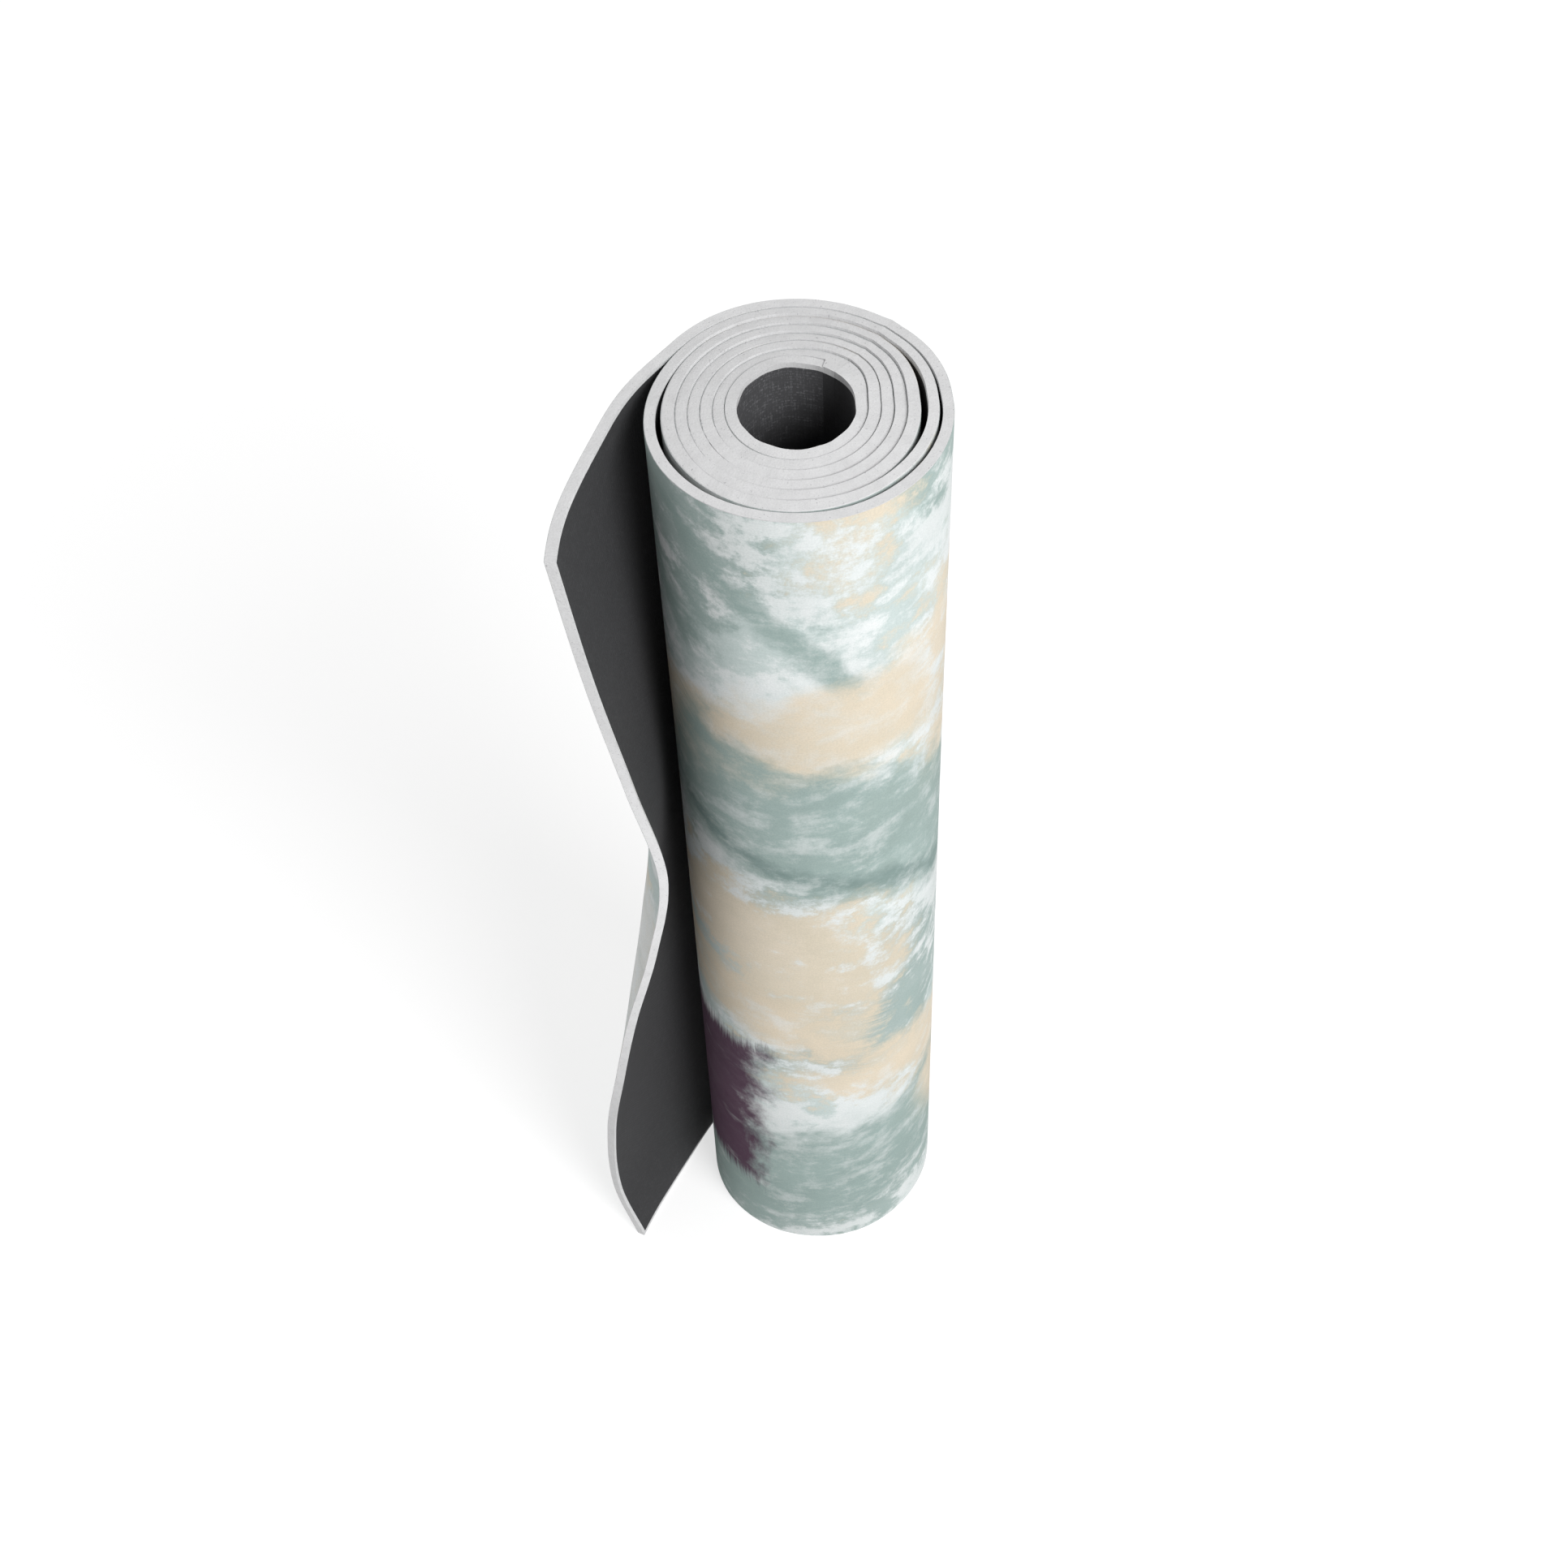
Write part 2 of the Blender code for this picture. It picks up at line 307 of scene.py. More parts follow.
def winding_radii(sides):
    """Radius of the printed face in each direction: each turn lies on the one before it."""
    off_middle = HOLLOW_SHIFT * cosine(sides - HOLLOW_SHIFT_SIDE)
    climbed = smooth(1 - (360 - STEP_ANGLE * np.arange(len(sides))) / END_CLIMB_ANGLE)
    radii = HOLLOW_RADIUS + PACKED_THICKNESS + off_middle + climbed * (PACKED_THICKNESS + WINDING_GAP)
    gaps = gap_under(sides)
    for step in range(STEPS_PER_TURN, len(sides)):
        below = step - STEPS_PER_TURN
        rises = radii[below + 1] - radii[below], radii[below] - radii[max(below - 1, 0)]
        steepest = max(abs(rise) for rise in rises) / math.radians(STEP_ANGLE)
        tilt = math.atan2(steepest, radii[below])
        radii[step] = radii[below] + (PACKED_THICKNESS + gaps[step]) / math.cos(tilt)
    return radii


def pulled_in(sides):
    """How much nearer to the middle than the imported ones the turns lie, so that the outline stays round."""
    away = (sides - PULL_SIDE + 180) % 360 - 180
    away = np.abs(away) / np.where(away < 0, *PULL_SPREAD)
    left = (PULL_FADES[1] - FLAP_SIDE + sides) / (PULL_FADES[1] - PULL_FADES[0])
    return PULL * np.clip(left, 0, 1) * (1 + cosine(180 * np.minimum(away, 1))) / 2


def check_hinges(points):
    """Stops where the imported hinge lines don't lie on the winding."""
    hinges = points[-1 - STEPS_PER_TURN :: STEPS_PER_STRIP][:-1]
    stray = np.abs(hinges - np.array([joint["pos_m"][:2] for joint in UNROLL_JOINTS])).max()
    if stray > HINGE_TOLERANCE:
        raise RuntimeError(f"The packed roll is wound differently: hinges stray by {stray} m")


def winding():
    """Points of the printed face, the mitred way into the sheet, the air below it and the room to swell."""
    steps = round(WOUND_ANGLE / STEP_ANGLE)
    sides = FLAP_SIDE - WOUND_ANGLE + STEP_ANGLE * np.arange(steps + 2)
    radii = winding_radii(sides)
    middle = np.array(FLAP_JOINT["pos_m"][:2]) - radii[-2] * directions(sides[-2])
    check_hinges(middle + radii[:-1, None] * directions(sides[:-1]))
    pulled = pulled_in(sides)
    points = middle + (radii - pulled)[:, None] * directions(sides)
    chords = unit(np.diff(points, axis=0))
    before = np.vstack((chords[:1], chords[:-1]))
    inward = left_of(unit(before + chords))
    inward /= np.sum(inward * left_of(chords), axis=1, keepdims=True)
    gaps = gap_under(sides)
    gaps[STEPS_PER_TURN:] -= pulled[STEPS_PER_TURN:] - pulled[:-STEPS_PER_TURN]
    return points[:-1], inward, gaps[:-1], room_below(sides, radii, gaps)[:-1]


def room_below(sides, radii, gaps):
    """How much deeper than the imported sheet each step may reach: to the turn below, or round the hollow."""
    room = gaps * spread_over(FLAP_SIDE - sides, PRESSED_FROM)
    hollow = HOLLOW_RADIUS + PACKED_THICKNESS + HOLLOW_SHIFT * cosine(sides - HOLLOW_SHIFT_SIDE)
    past_end = STEPS_PER_TURN + round(INNER_END_CUT / STEP_ANGLE)
    room[:past_end] = radii[:past_end] - hollow[:past_end]
    turned = np.radians(sides[:past_end])
    ripple = sum(size * np.sin(count * turned + start) for count, size, start in HOLLOW_WAVES)
    room[:past_end] += HOLLOW_RIPPLE * (1 + ripple / len(HOLLOW_WAVES))
    return room


POINTS, INWARD, GAPS, ROOM = winding()
TURN_START = len(POINTS) - 1 - STEPS_PER_TURN
ALONG = np.append(np.cumsum(np.linalg.norm(np.diff(POINTS, axis=0), axis=1)[::-1])[::-1], 0)


# The sheet's surface


def row_shares(rows):
    """Shares of the mat's width, with rows close to each cut edge."""
    near = CUT_ROWS / MAT_WIDTH
    return np.concatenate((near[:-1], np.linspace(near[-1], 1 - near[-1], rows), 1 - near[-2::-1]))


def waving(along, wave):
    height, length, start = wave
    return height * np.sin(along / length + start)


def heights(shares, wound, along):
    """Height of each point: the turns stand a little above or below each other."""
    telescoping = bpy.context.scene.yoga_mat_sheet.telescoping
    top = np.interp(wound, TOP_CUT[:, 0], TOP_CUT[:, 1]) + waving(along, TOP_WAVE)
    bottom = BOTTOM_WAVE[0] + waving(along, BOTTOM_WAVE)
    bottom, top = telescoping * bottom[..., None], telescoping * top[..., None]
    return bottom + (MAT_WIDTH + top - bottom) * shares


def on_sheet(along, shares):
    """Each point's place on the sheet in metres: along it, up its width, and no depth."""
    along, up = np.broadcast_arrays(along[:, None], shares * MAT_WIDTH)
    return np.dstack((along, up, 0 * up))


def round_off(edge, radius):
    """How far a face is set back by its distance from the cut, where the corner is round."""
    left = 1 - np.clip(edge / np.clip(CORNER_RUN * radius, CUT_ROWS[2], CUT_ROWS[-1]), 0, 1)
    return radius * (1 - np.sqrt(1 - left**2))


def cut_edges(edge, wound, swell, spare):
    """Round corners along the cuts, where the foam also covers the edge of the backing."""
    sizes = bpy.context.scene.yoga_mat_sheet
    corner = sizes.telescoping * np.interp(wound, TOP_CUT[:, 0], TOP_CUT[:, 2])[:, None] + 0 * edge
    inner_corner = np.minimum(INNER_CORNER_SHARE * corner, INNER_CORNER_MOST)
    cover = np.clip((CUT_ROWS[4] - edge) / (CUT_ROWS[4] - CUT_ROWS[3]), 0, 1)
    return {
        "front": round_off(edge, corner),
        "back": round_off(edge, inner_corner),
        "rim": (edge < CUT_ROWS[1]).astype(float),
        "flare": cover * (sizes.backing + spare),
        "swell": swell,
    }


def swelling(steps):
    """How much thicker than in the open each step is, and the air that is left below it."""
    sizes = bpy.context.scene.yoga_mat_sheet
    thinner = PACKED_THICKNESS - sizes.thickness - sizes.air
    in_hollow = steps < STEPS_PER_TURN + INNER_END_CUT / STEP_ANGLE
    swell = np.minimum(np.maximum(ROOM[steps] + thinner, 0), GAPS[steps] + thinner)
    swell = np.where(in_hollow, ROOM[steps], swell)
    air = np.clip(GAPS[steps] + PACKED_THICKNESS - sizes.thickness - swell, 0, MOST_CLOSED)
    return swell, np.where(in_hollow, 0, air)


def wound_part(first, last, rows):
    """The winding from one step to another as grids, one row of each grid for each step."""
    shares = row_shares(rows)
    steps = np.arange(first, last + 1)
    wound = STEP_ANGLE * (len(POINTS) - 1 - steps)
    along = ALONG[steps]
    grid = np.ones((len(steps), len(shares), 1))

    foot = np.interp(wound, FOOT[:, 0], FOOT[:, 1])[:, None]
    foot = foot * np.clip(1 - shares * MAT_WIDTH / FOOT_HEIGHT, 0, 1) ** FOOT_POWER
    points = POINTS[steps, None] - foot[..., None] * unit(INWARD[steps, None])
    slope = CUT_SLOPE * np.interp(wound, CUT_SLOPES_FROM, (0, 1))[:, None, None] * grid
    slope[:, :-1] = 0
    inward = np.dstack((INWARD[steps, None] * grid, slope))

    swell, air = swelling(steps)
    open_side = OPEN_SHARE * np.clip(cosine(FLAP_SIDE - wound), 0, 1)
    closed = 1 - open_side * (1 - OPEN_WAVE[0] + waving(along, OPEN_WAVE))
    edge = np.minimum(shares, 1 - shares) * MAT_WIDTH * grid[..., 0]
    cuts = cut_edges(edge, wound, swell[:, None] * grid[..., 0], (air * closed)[:, None] * grid[..., 0])
    return {
        "place": np.dstack((points, heights(shares, wound, along))),
        "inward": inward,
        "facing": -unit(inward * (1, 1, 0)),
        "sheet": on_sheet(along, shares),
        **cuts,
    }


def wave(shares):
    """Turn of the flap's body and of its edge at each height, on a smooth curve through the table."""
    knots = FLAP_WAVE[:, 0]
    after = np.minimum(np.arange(len(knots)) + 1, len(knots) - 1)
    before = np.maximum(np.arange(len(knots)) - 1, 0)
    slopes = (FLAP_WAVE[after, 1:] - FLAP_WAVE[before, 1:]) / (knots[after] - knots[before])[:, None]
    index = np.clip(np.searchsorted(knots, shares, side="right") - 1, 0, len(knots) - 2)
    span = (knots[index + 1] - knots[index])[:, None]
    across = (shares - knots[index])[:, None] / span
    start, end = FLAP_WAVE[index, 1:], FLAP_WAVE[index + 1, 1:]
    rise = slopes[index] * span * across * (1 - across) ** 2
    fall = slopes[index + 1] * span * (1 - across) * across**2
    return (start + (end - start) * smooth(across) + rise - fall).T


def flap_part(rows):
    """The flap as grids, from its base, which is left out, to its free edge."""
    shares = row_shares(rows)
    body_turn, edge_turn = wave(shares)
    near = CUT_ROWS[::-1] / FLAP_LENGTH
    across = np.concatenate((np.linspace(0, 1 - near[0], FLAP_COLUMNS + 1), 1 - near[1:]))[:, None]
    base_heading = math.degrees(math.atan2(-INWARD[-1, 0], INWARD[-1, 1]))
    heading = base_heading + body_turn * spread_over(across, BODY_TURN)
    heading = heading + edge_turn * spread_over(across, EDGE_TURN)
    length = (FLAP_LENGTH + FLAP_LEAN * (shares - 0.5)) * np.diff(across, axis=0)
    moves = directions((heading[1:] + heading[:-1]) / 2) * length[..., None]
    base = POINTS[-1] + INWARD[-1] * PACKED_THICKNESS
    inward = left_of(directions(heading[1:]))
    across = across[1:, 0]
    bow = FLAP_BOW * np.sin(math.pi * across**2)[:, None] * spread_over(shares, (FLAP_BOW_FROM, 1))
    printed = base + np.cumsum(moves, axis=0) - inward * (PACKED_THICKNESS + bow[..., None])
    along = -across * FLAP_LENGTH
    edge = np.minimum(shares, 1 - shares) * MAT_WIDTH
    edge = np.minimum(edge, ((1 - across) * FLAP_LENGTH)[:, None])
    return {
        "place": np.dstack((printed, heights(shares, 0 * along, along))),
        "inward": np.dstack((inward, 0 * edge)),
        "sheet": on_sheet(along, shares),
        **cut_edges(edge, 0 * along, 0 * edge, 0 * edge),
    }


def free_end():
    """The last half strip and the flap as one set of grids."""
    wound = wound_part(len(POINTS) - 1 - STEPS_PER_STRIP // 2, len(POINTS) - 1, FLAP_ROWS)
    flap = flap_part(FLAP_ROWS)
    joined = {name: np.concatenate((wound[name], flap[name])) for name in flap}
    along_sheet, up = np.gradient(joined["place"], axis=(0, 1))
    joined["facing"] = unit(np.cross(along_sheet, up))
    joined["facing"][: len(wound["place"])] = wound["facing"]
    return joined


def part_of(grids, first, last):
    return {name: grid[first : last + 1] for name, grid in grids.items()}


# Nodes


class Graph:
    """Adds nodes to a tree, and joins them to the sockets that it is given."""

    def __init__(self, tree):
        self.tree = tree

    def add(self, kind, inputs=None, **settings):
        made = self.tree.nodes.new(kind)
        count = len(self.tree.nodes)
        made.location = (200 * (count % 10), -320 * (count // 10))
        for name, value in settings.items():
            setattr(made, name, value)
        for key, value in (inputs or {}).items():
            if isinstance(value, bpy.types.NodeSocket):
                self.tree.links.new(value, made.inputs[key])
            else:
                made.inputs[key].default_value = value
        return made

    def math(self, operation, first, second=0.0):
        return self.add("ShaderNodeMath", {0: first, 1: second}, operation=operation).outputs[0]

    def times(self, first, second):
        return self.math("MULTIPLY", first, second)

    def vector(self, operation, first, second=(0, 0, 0)):
        return self.add("ShaderNodeVectorMath", {0: first, 1: second}, operation=operation).outputs[0]

    def scaled(self, vector, scale):
        inputs = {0: vector, "Scale": scale}
        return self.add("ShaderNodeVectorMath", inputs, operation="SCALE").outputs[0]

    def noise(self, vector, scale=1.0, detail=2.0, roughness=0.5, output="Fac"):
        inputs = {"Vector": vector, "Scale": scale, "Detail": detail, "Roughness": roughness}
        return self.add("ShaderNodeTexNoise", inputs).outputs[output]

    def ramp(self, value, low, high, bottom=0.0, top=1.0):
        """Rises smoothly from bottom to top as the value goes from low to high."""
        inputs = {"Value": value, "From Min": low, "From Max": high, "To Min": bottom, "To Max": top}
        return self.add("ShaderNodeMapRange", inputs, interpolation_type="SMOOTHSTEP").outputs[0]

    def mix(self, share, first, second, blend="MIX"):
        """Mixes two colours, each of them a socket or three levels."""
        first, second = (
            colour if isinstance(colour, bpy.types.NodeSocket) else (*colour, 1) for colour in (first, second)
        )
        inputs = {0: share, 6: first, 7: second}
        return self.add("ShaderNodeMix", inputs, data_type="RGBA", blend_type=blend).outputs[2]

    def surface(self, shader, tone, height, strength, distance):
        """Gives a shader its colour and its relief."""
        made = self.add("ShaderNodeBump", {"Strength": strength, "Distance": distance, "Height": height})
        self.tree.links.new(made.outputs[0], shader.inputs["Normal"])
        self.tree.links.new(tone, shader.inputs["Base Color"])


def new_group(name, kind, inputs, outputs):
    """A node group with its sockets, and a graph to add nodes to."""
    tree = bpy.data.node_groups.new(name, kind)
    for way, sockets in (("INPUT", inputs), ("OUTPUT", outputs)):
        for socket, holds in sockets.items():
            tree.interface.new_socket(socket, in_out=way, socket_type=f"NodeSocket{holds}")
    return tree, Graph(tree)


# Materials

# Noises of the foam, per metre
FOAM_SCALES = {"cells": 1100, "grain": 1500, "clouds": 130, "specks": 1300, "pits": 700}

# Threads of the backing: pitch, how far they wander, and noises per metre across and along a thread
WEAVE_PITCH = 0.0015
THREAD_WANDER = 3.0
THREAD_SCALES = (800, 90)

# Tones of the backing, as shares of its colour: between threads and on them, plain and with painted light
# where light falls into the hollow
THREAD_TONES = {"dark": 0.8, "plain": 1.15, "painted_lit_between": 1.7, "painted_lit_thread": 4.2}

# Painted light on the weave, lighter where light from the front falls into the hollow: metres below the top
# cut where that begins and is full, how much deeper for each metre from the inner end, and metres from that
# end over which it fades
PAINTED_LIGHT_BELOW = (0.032, 0.008)
PAINTED_LIGHT_SLANT = 0.35
PAINTED_LIGHT_ALONG = (0.09, 0.12)

# Noises of the print, per metre, and the stretch of its fine strokes
PRINT_SCALES = {"wander": 9, "sponge": 60, "shade": 16, "grain": 1100, "dents": 35}
PRINT_WANDER = 0.035
STROKE_SCALES = (40, 95, 0)

# Washes of the print: colour, offset, clouds per metre, where cover begins and is full, raggedness, most
WASHES = (
    ("pale_sage", (3.1, 0.4, 0), 11.0, 0.46, 0.62, 1.3, 0.9),
    ("sage", (7.3, 1.9, 0), 7.0, 0.52, 0.64, 0.9, 0.85),
    ("cream", (1.7, 5.2, 0), 5.0, 0.55, 0.65, 0.7, 0.9),
)

# Brush swipes of the print: colour, middle along and up, turn, half length, half width, feather
SWIPES = (
    ("sage", 0.33, 0.56, 2.3, 0.06, 0.014, 0.01),
    ("sage", 0.26, 0.55, 2.25, 0.07, 0.012, 0.01),
    ("cream", 0.29, 0.46, 0.25, 0.12, 0.04, 0.02),
    ("sage", 0.19, 0.38, 2.7, 0.15, 0.055, 0.022),
    ("deep_sage", 0.235, 0.365, 2.6, 0.09, 0.012, 0.014),
    ("cream", 0.31, 0.25, 2.9, 0.11, 0.035, 0.02),
    ("sage", 0.2, 0.08, 0.2, 0.14, 0.06, 0.022),
    ("cream", 0.16, 0.17, 2.8, 0.08, 0.03, 0.018),
    ("plum", 0.31, 0.13, 1.57, 0.08, 0.045, 0.018),
    ("plum", 0.03, 0.42, 1.5, 0.09, 0.045, 0.018),
    ("cream", 0.08, 0.12, 0.4, 0.1, 0.05, 0.018),
    ("white", -0.08, 0.22, 1.57, 0.16, 0.05, 0.02),
    ("plum", 0.5, 0.15, 1.5, 0.08, 0.05, 0.018),
)
SWIPE_SHAPE = ("Turn", "Half length", "Half width", "Feather")

# Noises per metre, along and across a swipe, that fray its ends and its sides
SWIPE_FIBRES = (22, 620, 0)
SWIPE_RAGS = (40, 60, 0)

# Least share that a swipe covers where the ground's texture shows through
LEAST_COVER = 0.5
LEAST_PLUM_COVER = 0.95


def new_material(name, roughness, specular, shown):
    """A material with its shader set, and a graph to add nodes to."""
    material = bpy.data.materials.new(name)
    material.use_nodes = True
    material.diffuse_color = (*shown, 1)
    shader = material.node_tree.nodes["Principled BSDF"]
    shader.inputs["Roughness"].default_value = roughness
    shader.inputs["Specular IOR Level"].default_value = specular
    return material, shader, Graph(material.node_tree)


def sheet_place(graph):
    """Place on the sheet in metres: along it, up its width, and down from the printed face."""
    return graph.add("ShaderNodeAttribute", attribute_name="sheet").outputs["Vector"]


def toned(share, colour):
    return [share * level for level in colour]


def foam_material(colours):
    """Light grey closed-cell foam with cut cells and tiny dark specks."""
    material, shader, graph = new_material("cut_foam", 0.9, 0.5, colours.foam)
    place = sheet_place(graph)
    cells = {"Vector": place, "Scale": FOAM_SCALES["cells"]}
    cells = graph.add("ShaderNodeTexVoronoi", cells).outputs["Distance"]
    grain = graph.noise(place, FOAM_SCALES["grain"], 4, 0.7)
    clouds = graph.noise(place, FOAM_SCALES["clouds"], 5, 0.7)
    specks = graph.ramp(graph.noise(place, FOAM_SCALES["specks"], 1, 0.4), 0.67, 0.76, 0.0, 0.9)
    pits = graph.ramp(graph.noise(place, FOAM_SCALES["pits"], 2, 0.5), 0.67, 0.75, 0.0, 0.9)
    tone = graph.mix(graph.ramp(clouds, 0.35, 0.7, 0.0, 0.7), colours.foam, toned(0.88, colours.foam))
    tone = graph.mix(graph.ramp(grain, 0.35, 0.7, 0.0, 0.35), tone, toned(0.72, colours.foam))
    tone = graph.mix(graph.math("MAXIMUM", specks, pits), tone, colours.foam_specks)
    height = graph.math("ADD", graph.times(cells, 0.7), grain)
    height = graph.math("SUBTRACT", height, graph.times(pits, 0.8))
    graph.surface(shader, tone, height, 0.6, 0.00018)
    return material


def weave_height(graph, place, pitch):
    """Height of a plain weave: threads up the mat and along it by turns on top, thicker here and there."""
    wander = graph.noise(graph.vector("MULTIPLY", place, (130, 130, 0)), 1, 3, 0.6, "Color")
    turned = graph.scaled(place, math.pi / pitch)
    turned = graph.vector("ADD", turned, graph.scaled(wander, THREAD_WANDER))
    along, up, _ = graph.add("ShaderNodeSeparateXYZ", {0: turned}).outputs
    along, up = graph.math("SINE", along), graph.math("SINE", up)
    warp_on_top = graph.math("GREATER_THAN", graph.times(along, up), 0.0)
    fine, coarse = THREAD_SCALES
    upright, level = (
        graph.ramp(graph.noise(graph.vector("MULTIPLY", place, (*scales, 0)), 1, 2), 0.3, 0.65)
        for scales in ((fine, coarse), (coarse, fine))
    )
    warp = graph.times(graph.math("ABSOLUTE", along), upright)
    weft = graph.times(graph.math("ABSOLUTE", up), level)
    below = graph.times(graph.math("SUBTRACT", 1.0, warp_on_top), weft)
    return graph.math("ADD", graph.times(warp_on_top, warp), below)


def painted_hollow_light(graph, place):
    """Painted light: the weave is lighter at the top near the inner end, where light falls into the hollow,
    and reaches deeper away from that end.
    """
    along, up, _ = graph.add("ShaderNodeSeparateXYZ", {0: place}).outputs
    from_end = graph.math("SUBTRACT", ALONG[0], along)
    patchy = graph.times(graph.noise(place, 90, 3, 0.6), 0.02)
    reach = graph.math("ADD", up, graph.times(from_end, PAINTED_LIGHT_SLANT))
    reach = graph.math("ADD", reach, patchy)
    high = graph.ramp(reach, MAT_WIDTH - PAINTED_LIGHT_BELOW[0], MAT_WIDTH - PAINTED_LIGHT_BELOW[1])
    return graph.times(high, graph.ramp(from_end, *PAINTED_LIGHT_ALONG, 1.0, 0.0))


def backing_material(colours):
    """Matt charcoal backing with a fine linen weave."""
    material, shader, graph = new_material("charcoal_linen", 0.85, 0.3, colours.backing)
    place = sheet_place(graph)
    woven = weave_height(graph, place, WEAVE_PITCH)
    clouds = graph.noise(graph.vector("MULTIPLY", place, (9, 2.5, 0)), 1, 5, 0.6)
    # Painted light: the weave is lighter near the top of the hollow, where light from the front falls in, both
    # between the threads and on them
    painted_light = painted_hollow_light(graph, place)
    patchy = graph.ramp(graph.noise(place, 210, 5, 0.7), 0.4, 0.62, 0.1, 1.0)
    thread = graph.times(graph.ramp(woven, 0.2, 0.85), patchy)
    tones = {name: toned(share, colours.backing) for name, share in THREAD_TONES.items()}
    between = graph.mix(painted_light, tones["dark"], tones["painted_lit_between"])
    tone = graph.mix(thread, between, graph.mix(painted_light, tones["plain"], tones["painted_lit_thread"]))
    tone = graph.mix(graph.ramp(clouds, 0.3, 0.75, 0.0, 0.35), tone, toned(1.3, colours.backing))
    graph.surface(shader, tone, woven, 0.5, 0.00015)
    return material


def swipe_group():
    """Node group for one dry brush swipe: how far it covers each place on the sheet."""
    inputs = {"Place": "Vector", "Middle": "Vector", **dict.fromkeys(SWIPE_SHAPE, "Float")}
    tree, graph = new_group("brush_swipe", "ShaderNodeTree", inputs, {"Cover": "Float"})
    given = graph.add("NodeGroupInput").outputs
    local = graph.vector("SUBTRACT", given["Place"], given["Middle"])
    inputs = {"Vector": local, "Angle": given["Turn"]}
    local = graph.add("ShaderNodeVectorRotate", inputs, rotation_type="Z_AXIS").outputs[0]
    length, width, _ = graph.add("ShaderNodeSeparateXYZ", {0: local}).outputs
    fibres = graph.noise(graph.vector("MULTIPLY", local, SWIPE_FIBRES), 1, 5, 0.72)
    rags = graph.noise(graph.vector("MULTIPLY", local, SWIPE_RAGS), 1, 5, 0.65)
    feather = given["Feather"]

    def within(half, distance, noise, raggedness):
        """Distance inside a ragged edge that lies half a size away from the middle."""
        inside = graph.math("SUBTRACT", half, graph.math("ABSOLUTE", distance))
        ragged = graph.math("SUBTRACT", noise, 0.5)
        ragged = graph.times(ragged, graph.times(feather, raggedness))
        return graph.math("ADD", inside, ragged)

    ends = within(given["Half length"], length, fibres, 2.2)
    sides = within(given["Half width"], width, rags, 2.4)
    cover = graph.ramp(graph.math("MINIMUM", ends, sides), 0.0, feather)
    graph.add("NodeGroupOutput", {"Cover": cover})
    return tree


def print_material(colours):
    """Soft matt skin with a printed wash of pale sage, cream and plum."""
    material, shader, graph = new_material("printed_wash", 0.85, 0.2, colours.pale_sage)
    place = graph.vector("MULTIPLY", sheet_place(graph), (1, 1, 0))
    wander = graph.noise(place, PRINT_SCALES["wander"], 2, 0.5, "Color")
    wander = graph.vector("SUBTRACT", wander, (0.5, 0.5, 0.5))
    moved = graph.vector("ADD", place, graph.scaled(wander, PRINT_WANDER))
    sponge = graph.noise(place, PRINT_SCALES["sponge"], 9, 0.74)
    strokes = graph.noise(graph.vector("MULTIPLY", moved, STROKE_SCALES), 1, 5, 0.6)
    texture = graph.math("ADD", graph.times(sponge, 0.65), graph.times(strokes, 0.35))
    ragged = graph.math("SUBTRACT", texture, 0.5)

    tone = graph.mix(graph.ramp(texture, 0.3, 0.7, 0.0, 0.45), colours.white, colours.pale_sage)
    for name, offset, scale, low, high, raggedness, most in WASHES:
        cloud = graph.noise(graph.vector("ADD", moved, offset), scale, 3, 0.5)
        cover = graph.math("ADD", cloud, graph.times(ragged, raggedness))
        tone = graph.mix(graph.ramp(cover, low, high, 0.0, most), tone, getattr(colours, name))

    swipe = swipe_group()
    for name, along, up, *shape in SWIPES:
        inputs = {"Place": moved, "Middle": (along, up, 0), **dict(zip(SWIPE_SHAPE, shape))}
        cover = graph.add("ShaderNodeGroup", inputs, node_tree=swipe).outputs[0]
        least = LEAST_PLUM_COVER if name == "plum" else LEAST_COVER
        cover = graph.times(cover, graph.ramp(texture, 0.36, 0.56, least, 0.97))
        tone = graph.mix(cover, tone, getattr(colours, name))
    tone = graph.mix(graph.ramp(strokes, 0.58, 0.8, 0.0, 0.25), tone, colours.white)

    shade = graph.noise(moved, PRINT_SCALES["shade"], 5, 0.6)
    tone = graph.mix(graph.ramp(shade, 0.3, 0.7, 0.0, 0.22), tone, (0.45, 0.5, 0.48), "MULTIPLY")
    grain = graph.noise(place, PRINT_SCALES["grain"], 4, 0.75)
    tone = graph.mix(graph.ramp(grain, 0.3, 0.7, 0.0, 0.22), tone, (0.35, 0.4, 0.4), "MULTIPLY")
    dents = graph.noise(place, PRINT_SCALES["dents"], 3, 0.5)
    height = graph.math("ADD", graph.times(grain, 0.3), dents)
    graph.surface(shader, tone, height, 0.35, 0.0003)
    return material


# Each layer's material, what makes it, and the record's slot
FINISHES = {
    "print_skin": ("printed_wash", print_material, "printed_skin"),
    "foam_core": ("cut_foam", foam_material, "foam_core"),
    "backing": ("charcoal_linen", backing_material, "woven_backing"),
}


def material_of(layer):
    """The layer's material, made when it is first asked for."""
    name, make, _ = FINISHES[layer]
    return bpy.data.materials.get(name) or make(bpy.context.scene.yoga_mat_colours)


